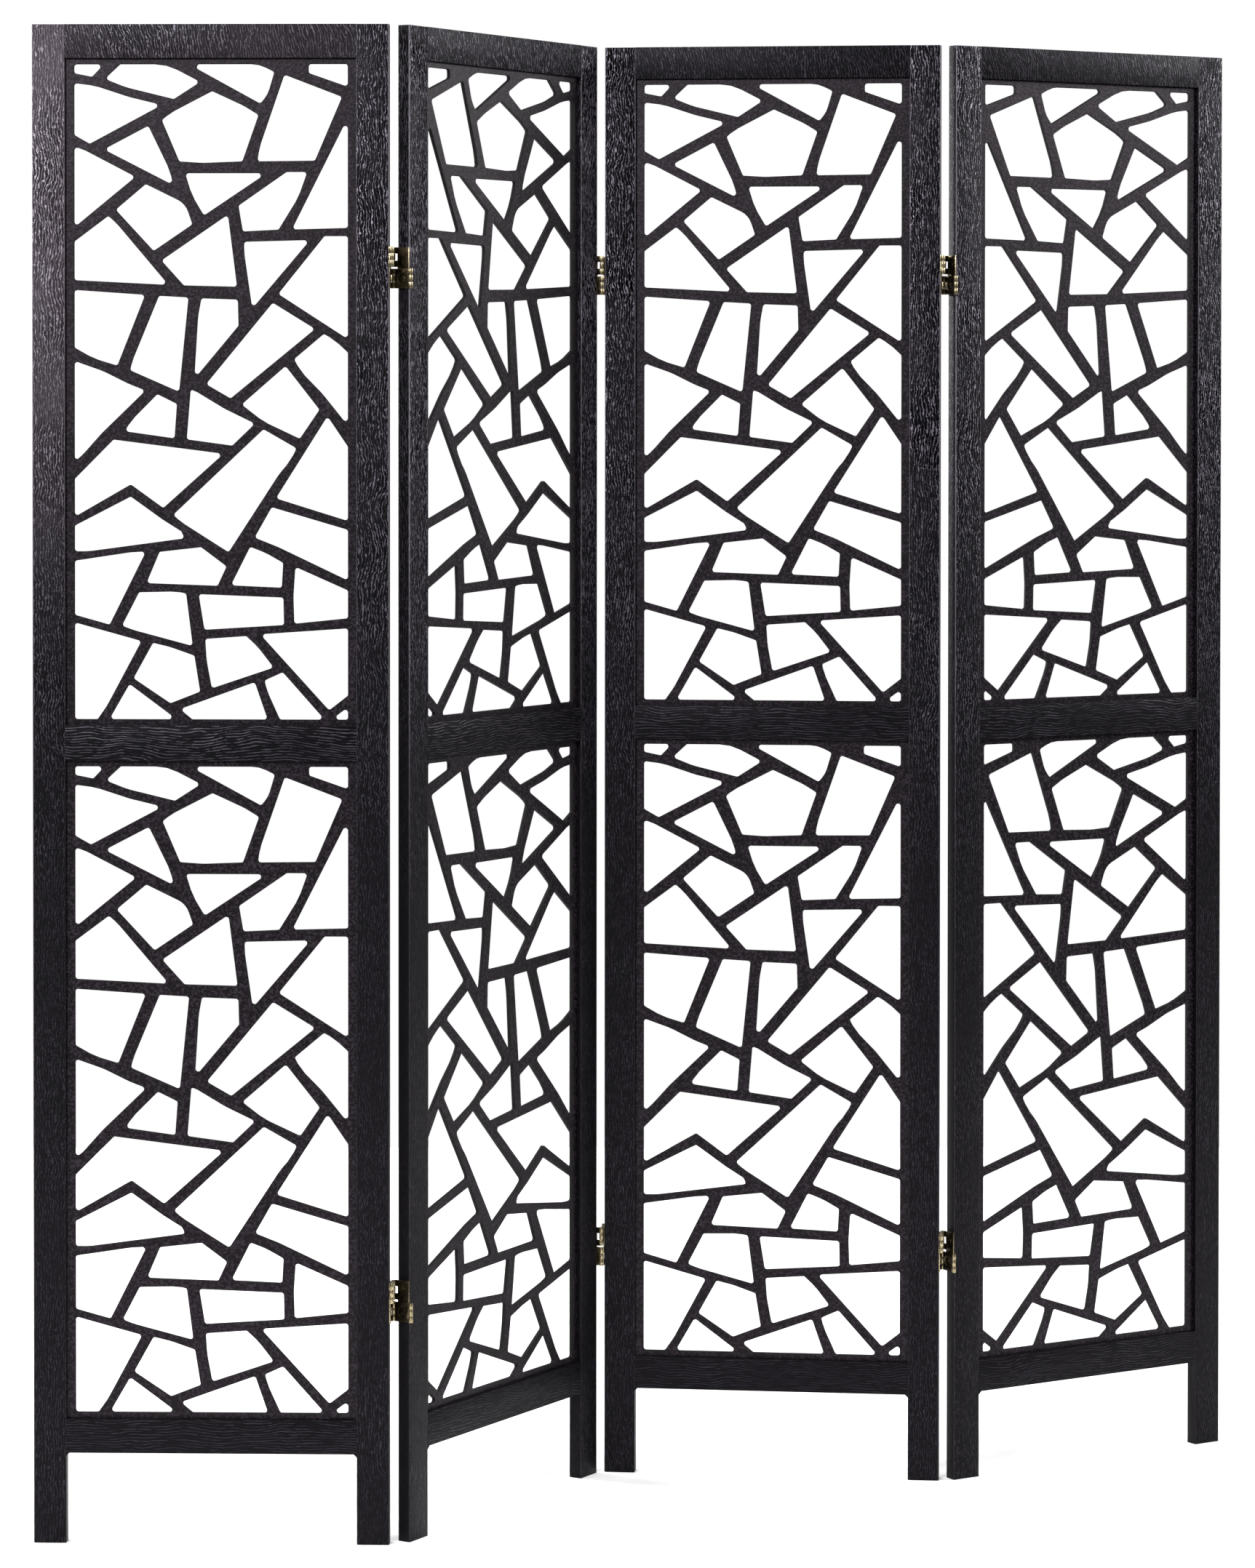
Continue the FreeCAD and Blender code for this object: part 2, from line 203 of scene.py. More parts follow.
@dataclass(frozen=True)
class BrushedBlackWood(Finish):
    """Wire-brushed open-grained softwood under a black-brown stain and thin satin lacquer.

    Brushing takes out the soft early wood, so the hard grain stands up in short ridges.  They
    catch the light as glints, and their grey is partly stain left on them and partly a painted
    highlight for those glints.  The furrows between them stay nearly black.
    """

    heading: float
    run: GrainRun
    # How strongly the member is brushed, and how strong the grey painted highlight at its top is
    brushing: float
    painted_highlight: float
    # Without and under the full grey painted highlight
    flat_colours: tuple[str, str] = ("#09080a", "#5c545c")
    # The ridges' grey is partly stain left on them and partly a painted highlight for their glints
    ridge_colours: tuple[str, str] = ("#544f5b", "#988e97")
    # Near black in the furrows: stain held there, and painted shade of the relief beside the ridges
    furrow_colour: str = "#020202"
    # Real brushed ridges are a third as far apart, drawn coarser so that they show from five metres
    ridge_spacing: float = 3.1 * MM
    # Where furrow and crest lie, from 0 between two ridges to 0.5 on top of one
    furrow_band: Pair = (0.2, 0.36)
    crest_band: Pair = (0.27, 0.45)
    # How many ridge spacings the ridges sway to either side, and the share of it in level rails
    sway: float = 1.1
    level_sway: float = 0.45
    level_stretch: float = 2.5
    sway_width: float = 3.2 * MM
    sway_length: float = 8.0 * MM
    sway_roughness: float = 0.55
    # Ridges break off where the sway's second noise is low, down to the share
    broken_band: Pair = (0.42, 0.5)
    broken_share: float = 0.05
    wander_size: float = 55.0 * MM
    wander_reach: float = 7.0 * MM
    slant: float = math.radians(12)
    ridge_relief: float = 0.6 * MM
    # On the flat and on a ridge, and the sheen on the flat and in a furrow
    roughness: Pair = (0.46, 0.34)
    sheen: Pair = (0.085, 0.0)
    ridge_sheen: float = 1.0
    sheen_tint: str = "#f6f0ff"
    # Some patches are brushed less, down to the share
    patch_size: float = 90.0 * MM
    patch_band: Pair = (0.35, 0.65)
    patch_share: float = 0.45
    # The brushing shows fully only high up, and from the knee down the lacquer lies thicker and fills
    # the grain; the ridges' painted glints and the arrises' painted highlight fade downwards with it
    open_heights: Pair = (0.65, 1.4)
    filled_share: float = 0.12
    # Heights over which the grey painted highlight at a member's top grows to full strength
    painted_highlight_heights: Pair = (0.95, 1.6)
    # Members are brushed most on their faces, and their edges keep this share
    face_band: Pair = (0.5, 0.9)
    edge_share: float = 0.35
    # Pale along the eased arrises, which look between edge and face: stain worn thin there, and a
    # painted highlight where the arrises catch the light
    arris_colour: str = "#77717a"
    arris_share: float = 0.6
    arris_start: Pair = (0.15, 0.5)
    arris_end: Pair = (0.9, 0.98)

    def shader_inputs(self, tree: bpy.types.NodeTree) -> dict[Any, Any]:
        """Add the grain's nodes for one panel's heading and one grain run.

        Args:
            tree: The material's node tree.

        Returns:
            The shader's inputs.
        """
        source = add_node(tree, "ShaderNodeTexCoord")
        place = source.outputs["Object"]
        unturn = (0.0, 0.0, -self.heading)
        turned = add_node(tree, "ShaderNodeMapping", {"Vector": place, "Rotation": unturn})
        facing = add_node(tree, "ShaderNodeMapping", {
            "Vector": source.outputs["Normal"],
            "Rotation": unturn,
        }, vector_type="NORMAL")
        facing_parts = add_node(tree, "ShaderNodeSeparateXYZ", {"Vector": facing})
        face_on = add_node(tree, "ShaderNodeMath", {0: facing_parts.outputs["Y"]}, operation="ABSOLUTE")
        face_share, from_edge, from_face = (
            add_node(tree, "ShaderNodeMapRange", {"Value": face_on, FROM: band, TO: shares})
            for band, shares in (
                (self.face_band, (self.edge_share, 1.0)),
                (self.arris_start, (0.0, self.arris_share)),
                (self.arris_end, (1.0, 0.0)),
            )
        )
        height = add_node(tree, "ShaderNodeSeparateXYZ", {"Vector": place}).outputs["Z"]
        # Shares by height: the brushing's openness, and the grey painted highlight at the top
        openness, painted_highlight = (
            add_node(tree, "ShaderNodeMapRange", {
                "Value": height,
                FROM: heights,
                TO: shares,
            }, interpolation_type="SMOOTHSTEP")
            for heights, shares in (
                (self.open_heights, (self.filled_share, self.brushing)),
                (self.painted_highlight_heights, (0.0, self.painted_highlight)),
            )
        )
        patches = add_node(tree, "ShaderNodeTexNoise", {"Vector": turned, "Scale": 1 / self.patch_size})
        patch_strength = add_node(tree, "ShaderNodeMapRange", {
            "Value": patches,
            FROM: self.patch_band,
            TO: (self.patch_share, 1.0),
        })
        brushed = add_node(tree, "ShaderNodeMath", {0: patch_strength, 1: openness}, operation="MULTIPLY")
        strength = add_node(tree, "ShaderNodeMath", {0: brushed, 1: face_share}, operation="MULTIPLY")
        fold, crest = self.add_ridges(tree, turned)
        furrow = add_node(tree, "ShaderNodeMapRange", {
            "Value": fold,
            FROM: self.furrow_band,
            TO: (1.0, 0.0),
        })
        crest_mix = add_node(tree, "ShaderNodeMath", {0: crest, 1: strength}, operation="MULTIPLY")
        furrow_mix = add_node(tree, "ShaderNodeMath", {0: furrow, 1: strength}, operation="MULTIPLY")
        arris = add_node(tree, "ShaderNodeMath", {0: from_edge, 1: from_face}, operation="MULTIPLY")
        # The arrises' pale: worn stain and a painted highlight, stronger high up
        wear_and_highlight = add_node(tree, "ShaderNodeMath", {0: arris, 1: openness}, operation="MULTIPLY")
        # The flat's and the ridges' colours, greyed at the top by the painted highlight
        colour, ridge = (
            add_node(tree, "ShaderNodeMix", {0: painted_highlight, TONES: map(linear, colours)}, data_type="RGBA")
            for colours in (self.flat_colours, self.ridge_colours)
        )
        # Laid over it: the furrows' near black (stain and painted shade), the ridges' grey (stain and
        # painted glints) and the arrises' pale (wear and painted highlight)
        for share, tone in (
            (furrow_mix, linear(self.furrow_colour)),
            (crest_mix, ridge),
            (wear_and_highlight, linear(self.arris_colour)),
        ):
            colour = add_node(tree, "ShaderNodeMix", {0: share, TONES: (colour, tone)}, data_type="RGBA")
        relief = add_node(tree, "ShaderNodeBump", {
            "Strength": strength,
            "Distance": self.ridge_relief,
            "Height": crest,
        })
        gloss = add_node(tree, "ShaderNodeMapRange", {"Value": crest_mix, TO: self.roughness})
        dulled = add_node(tree, "ShaderNodeMapRange", {"Value": furrow_mix, TO: self.sheen})
        sheen = add_node(tree, "ShaderNodeMapRange", {"Value": crest_mix, TO: (dulled, self.ridge_sheen)})
        return {
            "Base Color": colour,
            "Roughness": gloss,
            "IOR": LACQUER_IOR,
            "Specular IOR Level": sheen,
            "Specular Tint": linear(self.sheen_tint),
            "Normal": relief,
        }

    def add_ridges(self, tree: bpy.types.NodeTree,
                   turned: bpy.types.Node) -> tuple[bpy.types.Node, bpy.types.Node]:
        """Lay swaying ridges along the grain and break them off here and there.

        Args:
            tree: The material's node tree.
            turned: The place in the panel's own directions.

        Returns:
            Where a place lies across its ridge, and how much of a crest it has.
        """
        leaned = add_node(tree, "ShaderNodeMapping", {
            "Vector": turned,
            "Rotation": (0.0, self.slant if self.run is GrainRun.SLANTED else 0.0, 0.0),
        })
        wander = add_node(tree, "ShaderNodeTexNoise", {
            "Vector": leaned,
            "Scale": 1 / self.wander_size,
            "Detail": 1.0,
        })
        wander_offset = add_node(tree, "ShaderNodeVectorMath", {
            0: wander.outputs["Color"],
            1: (0.5, 0.5, 0.5),
        }, operation="SUBTRACT")
        wandered = add_node(tree, "ShaderNodeVectorMath", {
            0: wander_offset,
            1: (2 * self.wander_reach,) * 3,
            2: leaned,
        }, operation="MULTIPLY_ADD")
        level = self.run is GrainRun.LEVEL
        across = 1 / self.sway_width
        along = 1 / (self.sway_length * (self.level_stretch if level else 1.0))
        stretched = add_node(tree, "ShaderNodeVectorMath", {
            0: wandered,
            1: (along, across, across) if level else (across, across, along),
        }, operation="MULTIPLY")
        swell = add_node(tree, "ShaderNodeTexNoise", {
            "Vector": stretched,
            "Scale": 1.0,
            "Roughness": self.sway_roughness,
        })
        swell_parts = add_node(tree, "ShaderNodeSeparateColor", {"Color": swell.outputs["Color"]})
        step = 1 / self.ridge_spacing
        counted = add_node(tree, "ShaderNodeVectorMath", {
            0: wandered,
            1: (0.0, step, step) if level else (step, step, 0.0),
        }, operation="DOT_PRODUCT")
        swayed = add_node(tree, "ShaderNodeMath", {
            0: swell_parts.outputs["Red"],
            1: 2 * self.sway * (self.level_sway if level else 1.0),
            2: counted,
        }, operation="MULTIPLY_ADD")
        fold = add_node(tree, "ShaderNodeMath", {0: swayed, 1: 0.5}, operation="PINGPONG")
        rise = add_node(tree, "ShaderNodeMapRange", {
            "Value": fold,
            FROM: self.crest_band,
        }, interpolation_type="SMOOTHSTEP")
        unbroken = add_node(tree, "ShaderNodeMapRange", {
            "Value": swell_parts.outputs["Green"],
            FROM: self.broken_band,
            TO: (self.broken_share, 1.0),
        })
        crest = add_node(tree, "ShaderNodeMath", {0: rise, 1: unbroken}, operation="MULTIPLY")
        return fold, crest


@dataclass(frozen=True)
class LacqueredBoard(Finish):
    """Thin fibreboard under sprayed black-brown lacquer, which leaves a fine orange-peel mist."""

    name: str = "lacquered_board"
    # Of the lacquer and of its mist
    colours: tuple[str, str] = ("#030203", "#252026")
    # Spray mist is finer than this, drawn coarser so that it shows from five metres
    mist_size: float = 3.0 * MM
    mist_band: Pair = (0.45, 0.65)
    peel_size: float = 3.0 * MM
    peel_relief: float = 0.2 * MM
    roughness: float = 0.42
    sheen: float = 0.19
    sheen_tint: str = "#f4e8f5"

    def shader_inputs(self, tree: bpy.types.NodeTree) -> dict[Any, Any]:
        """Add the mist's and the peel's nodes for the board's faces.

        Args:
            tree: The material's node tree.

        Returns:
            The shader's inputs.
        """
        place = add_node(tree, "ShaderNodeTexCoord").outputs["Object"]
        mist = add_node(tree, "ShaderNodeTexNoise", {"Vector": place, "Scale": 1 / self.mist_size})
        share = add_node(tree, "ShaderNodeMapRange", {"Value": mist, FROM: self.mist_band})
        peel = add_node(tree, "ShaderNodeTexNoise", {"Vector": place, "Scale": 1 / self.peel_size})
        return {
            "Base Color": add_node(tree, "ShaderNodeMix", {
                0: share,
                TONES: map(linear, self.colours),
            }, data_type="RGBA"),
            "Roughness": self.roughness,
            "IOR": LACQUER_IOR,
            "Specular IOR Level": self.sheen,
            "Specular Tint": linear(self.sheen_tint),
            "Normal": add_node(tree, "ShaderNodeBump", {"Distance": self.peel_relief, "Height": peel}),
        }


@dataclass(frozen=True)
class CutEdge(Finish):
    """The sawn edge of the board, where the fibres drank the lacquer and stayed matt black."""

    name: str = "lacquered_cut_edge"
    colour: str = "#0b0a0b"
    fibre_size: float = 1.2 * MM
    roughness: Pair = (0.5, 0.9)
    sheen: float = 0.2

    def shader_inputs(self, tree: bpy.types.NodeTree) -> dict[Any, Any]:
        """Add the fibres' nodes for the cells' walls.

        Args:
            tree: The material's node tree.

        Returns:
            The shader's inputs.
        """
        place = add_node(tree, "ShaderNodeTexCoord").outputs["Object"]
        fibre = add_node(tree, "ShaderNodeTexNoise", {"Vector": place, "Scale": 1 / self.fibre_size})
        return {
            "Base Color": linear(self.colour),
            "Roughness": add_node(tree, "ShaderNodeMapRange", {"Value": fibre, TO: self.roughness}),
            "IOR": LACQUER_IOR,
            "Specular IOR Level": self.sheen,
        }


@dataclass(frozen=True)
class HingeBrass(Finish):
    """Brass in a dark and a light tone that one noise spreads, smoother where it is lighter."""

    colours: tuple[str, str]
    mark_size: float
    colour_band: Pair
    roughness: Pair
    roughness_band: Pair = (0.0, 1.0)
    detail: float = 2.0
    # How the marks are squeezed along X, Y and Z
    squeeze: Triple = (1.0, 1.0, 1.0)

    def shader_inputs(self, tree: bpy.types.NodeTree) -> dict[Any, Any]:
        """Add the marks' nodes.

        Args:
            tree: The material's node tree.

        Returns:
            The shader's inputs.
        """
        squeezed = add_node(tree, "ShaderNodeMapping", {
            "Vector": add_node(tree, "ShaderNodeTexCoord").outputs["Object"],
            "Scale": self.squeeze,
        })
        marks = add_node(tree, "ShaderNodeTexNoise", {
            "Vector": squeezed,
            "Scale": 1 / self.mark_size,
            "Detail": self.detail,
        })
        share = add_node(tree, "ShaderNodeMapRange", {"Value": marks, FROM: self.colour_band})
        return {
            "Base Color": add_node(tree, "ShaderNodeMix", {
                0: share,
                TONES: map(linear, self.colours),
            }, data_type="RGBA"),
            "Metallic": 1.0,
            "Roughness": add_node(tree, "ShaderNodeMapRange", {
                "Value": marks,
                FROM: self.roughness_band,
                TO: self.roughness,
            }),
        }


@dataclass(frozen=True)
class AgedBrass(HingeBrass):
    """Rolled brass under an antique finish: dark bronze plates with a little brown showing."""

    name: str = "antique_bronze_plate"
    colours: tuple[str, str] = ("#2a251c", "#6a5d45")
    mark_size: float = 9.0 * MM
    colour_band: Pair = (0.45, 0.7)
    roughness: Pair = (0.5, 0.34)
    roughness_band: Pair = (0.3, 0.7)
    detail: float = 3.0


@dataclass(frozen=True)
class RubbedBrass(HingeBrass):
    """Brass where hands and the turning knuckles have rubbed the finish off: bright pale gold."""

    name: str = "rubbed_brass_barrel"
    colours: tuple[str, str] = ("#665a42", "#d8caa4")
    mark_size: float = 0.4 * MM
    colour_band: Pair = (0.42, 0.66)
    roughness: Pair = (0.45, 0.2)
    squeeze: Triple = (0.2, 0.2, 1.0)


@dataclass(frozen=True)
class StudioPaper(Finish):
    """Seamless white paper: matt, with no pattern that shows."""

    name: str = "studio_paper"
    colour: str = "#f7f7f7"
    roughness: float = 0.9

    def shader_inputs(self, tree: bpy.types.NodeTree) -> dict[Any, Any]:
        """Return the shader's inputs, which need no other node."""
        return {"Base Color": linear(self.colour), "Roughness": self.roughness}


def deselect_all() -> None:
    """Leave object mode with nothing selected."""
    if bpy.context.object is not None and bpy.context.object.mode != "OBJECT":
        bpy.ops.object.mode_set(mode="OBJECT")
    bpy.ops.object.select_all(action="DESELECT")


def make_active(piece: bpy.types.Object) -> None:
    """Select one object alone and make it the active one.

    Args:
        piece: The object.
    """
    deselect_all()
    piece.select_set(True)
    bpy.context.view_layer.objects.active = piece


def add_block(corner: Triple, opposite: Triple) -> bpy.types.Object:
    """Add a cube primitive stretched between two opposite corners.

    Args:
        corner: One corner.
        opposite: The corner opposite to it.

    Returns:
        The block, with its size in its mesh.
    """
    deselect_all()
    low, high = (Vector([pick(ends) for ends in zip(corner, opposite)]) for pick in (min, max))
    bpy.ops.mesh.primitive_cube_add(size=1.0, location=(low + high) / 2, scale=high - low)
    bpy.ops.object.transform_apply(location=True, rotation=True, scale=True)
    return bpy.context.object


def add_rod(radius: float, foot: Vector, top: Vector) -> bpy.types.Object:
    """Add a cylinder primitive between two points.

    Args:
        radius: Its radius.
        foot: The middle of its lower end.
        top: The middle of its upper end.

    Returns:
        The rod, with its place in its mesh.
    """
    deselect_all()
    bpy.ops.mesh.primitive_cylinder_add(
        vertices=ROUND_SIDES,
        radius=radius,
        depth=(top - foot).length,
        location=(foot + top) / 2,
        rotation=(top - foot).to_track_quat("Z", "Y").to_euler(),
    )
    bpy.ops.object.transform_apply(location=True, rotation=True, scale=True)
    return bpy.context.object


def soften_edges(piece: bpy.types.Object, width: float, segments: int = 2) -> None:
    """Round a piece's sharp edges with an applied bevel.

    Args:
        piece: The object.
        width: The bevel's width.
        segments: How many faces each bevel has.
    """
    make_active(piece)
    bpy.ops.object.modifier_add(type="BEVEL")
    bevel = piece.modifiers[-1]
    bevel.width = width
    bevel.segments = segments
    bevel.limit_method = "ANGLE"
    bevel.angle_limit = SHARP_EDGE_ANGLE
    bpy.ops.object.modifier_apply(modifier=bevel.name)


def cut_away(piece: bpy.types.Object, tool: bpy.types.Object) -> None:
    """Cut one object out of another and remove the cutter.

    Args:
        piece: The object that is cut.
        tool: The cutter.
    """
    make_active(piece)
    bpy.ops.object.modifier_add(type="BOOLEAN")
    cutter = piece.modifiers[-1]
    cutter.operation = "DIFFERENCE"
    cutter.solver = "EXACT"
    cutter.object = tool
    bpy.ops.object.modifier_apply(modifier=cutter.name)
    bpy.data.objects.remove(tool, do_unlink=True)


def join_pieces(name: str, pieces: list[bpy.types.Object]) -> bpy.types.Object:
    """Join objects into the first of them.

    Args:
        name: The joined object's name.
        pieces: The objects.

    Returns:
        The joined object.
    """
    deselect_all()
    for piece in pieces:
        piece.select_set(True)
    bpy.context.view_layer.objects.active = pieces[0]
    bpy.ops.object.join()
    pieces[0].name = name
    return pieces[0]


def smooth_rounds(piece: bpy.types.Object) -> None:
    """Shade a piece's gentle edges smooth and leave sharp ones flat."""
    make_active(piece)
    bpy.ops.object.shade_smooth_by_angle(angle=SMOOTH_ANGLE)


def set_copy(pattern: bpy.types.Object, name: str, place: Matrix) -> bpy.types.Object:
    """Copy a piece with its own mesh and move that mesh to its place.

    Args:
        pattern: The piece that is copied.
        name: The copy's name.
        place: The copy's place.

    Returns:
        The copy, whose object sits at the origin.
    """
    copy = pattern.copy()
    copy.data = pattern.data.copy()
    copy.name = name
    copy.parent = None
    bpy.context.collection.objects.link(copy)
    copy.data.transform(place)
    copy.matrix_world = Matrix.Identity(4)
    return copy


@dataclass(frozen=True)
class PanelPlace:
    """Where one panel stands, read from its two stiles."""

    number: int
    heading: float
    foot: Vector
    width: float
    thickness: float

    @classmethod
    def read(cls, nodes: dict[str, bpy.types.Object], number: int) -> "PanelPlace":
        """Find a panel's heading, left front foot and size.

        Args:
            nodes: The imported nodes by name.
            number: The panel's number from the left, from 1.

        Returns:
            The panel's place.
        """
        sides = []
        for side in ("left", "right"):
            mesh = nodes[f"panel_{number}_stile_{side}"].data
            sides.append([vertex.co.copy() for vertex in mesh.vertices])
        left, right = (sum(points, Vector()) / len(points) for points in sides)
        heading = math.atan2(right.y - left.y, right.x - left.x)
        unturn = Matrix.Rotation(-heading, 4, "Z")
        flat = [unturn @ point for points in sides for point in points]
        low = Vector([min(point[axis] for point in flat) for axis in range(3)])
        high = Vector([max(point[axis] for point in flat) for axis in range(3)])
        foot = Matrix.Rotation(heading, 4, "Z") @ low
        return cls(number, heading, foot, high.x - low.x, high.y - low.y)

    @property
    def matrix(self) -> Matrix:
        """The panel's own frame: X along it, Y to its back, Z up, from its left front foot."""
        return Matrix.Translation(self.foot) @ Matrix.Rotation(self.heading, 4, "Z")

    @property
    def body(self) -> str:
        """The panel's body."""
        return f"panel_{self.number}"


@dataclass
class PanelFrame:
    """The stiles and rails of one panel, with eased arrises."""

    place: PanelPlace
    nodes: dict[str, bpy.types.Object]
    edge_easing: float = 0.7 * MM

    def members(self) -> dict[str, tuple[GrainRun, float, float]]:
        """List the members by name.

        Returns:
            Each one's grain run, how strongly it is brushed, and how strong a grey painted
            highlight it has at its top, which only the first panel gets.
        """
        first = self.place.number == 1
        stile_brushing = 0.8 if first else 1.0
        return {
            "stile_left": (GrainRun.UPRIGHT, stile_brushing, 0.66 if first else 0.0),
            "stile_right": (GrainRun.UPRIGHT, stile_brushing, 0.0),
            "top_rail": (GrainRun.SLANTED, 0.6 if self.place.number <= 2 else 0.25, 0.16 if first else 0.0),
            "mid_rail": (GrainRun.LEVEL, 1.2 if first else 0.5, 0.0),
            "bottom_rail": (GrainRun.LEVEL, 0.8, 0.0),
        }

    def build(self) -> list[bpy.types.Object]:
        """Build and dress the five members.

        Returns:
            The finished pieces.
        """
        pieces = []
        for member, (run, brushing, painted_highlight) in self.members().items():
            node_name = f"{self.place.body}_{member}"
            finish = BrushedBlackWood(f"brushed_wood_{node_name}", self.place.heading, run, brushing, painted_highlight)
            piece = self.eased_member(node_name)
            piece.data.materials.clear()
            piece.data.materials.append(finish.material())
            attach(piece, self.place.body)
            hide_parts(node_name)
            pieces.append(piece)
        return pieces

    def eased_member(self, node_name: str) -> bpy.types.Object:
        """Copy a packed member, merge its faces and ease its edges.

        Args:
            node_name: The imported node.

        Returns:
            The eased copy.
        """
        piece = set_copy(self.nodes[node_name], f"{node_name}_wood", Matrix.Identity(4))
        make_active(piece)
        bpy.ops.object.mode_set(mode="EDIT")
        bpy.ops.mesh.select_all(action="SELECT")
        bpy.ops.mesh.customdata_custom_splitnormals_clear()
        bpy.ops.mesh.remove_doubles(threshold=MERGE_DISTANCE)
        bpy.ops.mesh.dissolve_limited(angle_limit=FLAT_ANGLE)
        bpy.ops.object.mode_set(mode="OBJECT")
        soften_edges(piece, self.edge_easing, segments=3)
        smooth_rounds(piece)
        return piece


@dataclass
class FretBoard:
    """One pierced board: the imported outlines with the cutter's rounded corners and soft rims."""

    place: PanelPlace
    level: str
    node: bpy.types.Object
    corner_radius: float = 3.0 * MM
    bend_radius: float = 55.0 * MM
    rim_softening: float = 0.6 * MM
    corner_step: float = math.radians(14)
    # A turn less than this is a gentle bend of the bar's edge, and not a corner
    bend_limit: float = math.radians(30)
    # A rounded corner takes at most this share of its shorter side
    side_share: float = 0.45
    # How squarely a face of the board looks to the front or the back, and a cell's wall doesn't
    face_on: float = 0.99

    def build(self, face: bpy.types.Material, edge: bpy.types.Material) -> bpy.types.Object:
        """Build and dress the board.

        Args:
            face: The finish of its two faces.
            edge: The finish of the cells' walls.

        Returns:
            The finished piece.
        """
        outlines, front, back = self.packed_outlines()
        outlines.sort(key=self.span, reverse=True)
        rounded = outlines[:1] + [self.round_corners(outline) for outline in outlines[1:]]
        piece = self.cut_board(rounded, back - front)
        middle = Matrix.Translation((0.0, (front + back) / 2, 0.0))
        piece.data.transform(middle @ Matrix.Rotation(math.radians(90), 4, "X"))
        piece.data.materials.clear()
        piece.data.materials.append(face)
        piece.data.materials.append(edge)
        for polygon in piece.data.polygons:
            polygon.material_index = 0 if abs(polygon.normal.y) > self.face_on else 1
        piece.data.transform(self.place.matrix)
        smooth_rounds(piece)
        for polygon in piece.data.polygons:
            polygon.use_smooth = polygon.material_index == 1
        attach(piece, self.place.body)
        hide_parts(self.node.name)
        return piece

    @staticmethod
    def span(outline: list[Vector]) -> float:
        """Return an outline's height."""
        return max(point.y for point in outline) - min(point.y for point in outline)

    def packed_outlines(self) -> tuple[list[list[Vector]], float, float]:
        """Read the board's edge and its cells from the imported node, in the panel's own frame.

        Returns:
            The closed outlines as points across and up, and the depths of front and back face.
        """
        mesh = bmesh.new()
        mesh.from_mesh(self.node.data)
        bmesh.ops.remove_doubles(mesh, verts=mesh.verts, dist=MERGE_DISTANCE)
        bmesh.ops.transform(mesh, matrix=self.place.matrix.inverted(), verts=mesh.verts)
        front = min(vertex.co.y for vertex in mesh.verts)
        back = max(vertex.co.y for vertex in mesh.verts)
        neighbours: dict[int, list[int]] = {}
        for edge in mesh.edges:
            in_front = all(vertex.co.y - front < (back - front) / 2 for vertex in edge.verts)
            if in_front and edge.calc_face_angle(0.0) > SHARP_EDGE_ANGLE:
                first, second = (vertex.index for vertex in edge.verts)
                neighbours.setdefault(first, []).append(second)
                neighbours.setdefault(second, []).append(first)
        mesh.verts.ensure_lookup_table()
        outlines = []
        left_over = set(neighbours)
        while left_over:
            start = min(left_over)
            outline = []
            previous, current = -1, start
            while current in left_over:
                left_over.remove(current)
                corner = mesh.verts[current].co
                outline.append(Vector((corner.x, corner.z)))
                ahead = [index for index in neighbours[current] if index != previous]
                previous, current = current, ahead[0]
            outlines.append(outline)
        mesh.free()
        return outlines, front, back

    def round_corners(self, outline: list[Vector]) -> list[Vector]:
        """Turn each corner of a closed outline into an arc.

        Args:
            outline: The corners in order.

        Returns:
            The points of the rounded outline.
        """
        rounded = []
        for index, corner in enumerate(outline):
            before = outline[index - 1] - corner
            after = outline[(index + 1) % len(outline)] - corner
            turn = math.pi - before.angle(after)
            radius = self.bend_radius if turn < self.bend_limit else self.corner_radius
            reach = radius * math.tan(turn / 2)
            reach = min(reach, self.side_share * before.length, self.side_share * after.length)
            radius = reach / math.tan(turn / 2)
            start = corner + before.normalized() * reach
            end = corner + after.normalized() * reach
            to_middle = (before.normalized() + after.normalized()).normalized()
            middle = corner + to_middle * (radius / math.cos(turn / 2))
            steps = max(1, round(turn / self.corner_step))
            sweep = (start - middle).angle_signed(end - middle)
            for step in range(steps + 1):
                spoke = start - middle
                spoke.rotate(Matrix.Rotation(-sweep * step / steps, 2))
                rounded.append(middle + spoke)
        return rounded

    def cut_board(self, outlines: list[list[Vector]], thickness: float) -> bpy.types.Object:
        """Fill the outlines as one flat curve, give it thickness and rims, and make it a mesh.

        Args:
            outlines: The board's edge and its cells.
            thickness: The board's thickness.

        Returns:
            The board, which lies flat, with its middle plane at zero.
        """
        deselect_all()
        name = f"{self.place.body}_fret_{self.level}_board"
        curve = bpy.data.curves.new(name, "CURVE")
        curve.dimensions = "2D"
        curve.fill_mode = "BOTH"
        curve.extrude = thickness / 2 - self.rim_softening
        curve.bevel_depth = self.rim_softening
        curve.bevel_resolution = 1
        curve.offset = -self.rim_softening
        for outline in outlines:
            spline = curve.splines.new("POLY")
            spline.points.add(len(outline) - 1)
            for point, place in zip(spline.points, outline):
                point.co = (place.x, place.y, 0.0, 1.0)
            spline.use_cyclic_u = True
        board = bpy.data.objects.new(name, curve)
        bpy.context.collection.objects.link(board)
        make_active(board)
        bpy.ops.object.convert(target="MESH")
        bpy.ops.object.mode_set(mode="EDIT")
        bpy.ops.mesh.select_all(action="SELECT")
        bpy.ops.mesh.remove_doubles(threshold=MERGE_DISTANCE)
        bpy.ops.mesh.normals_make_consistent(inside=False)
        bpy.ops.object.mode_set(mode="OBJECT")
        return board


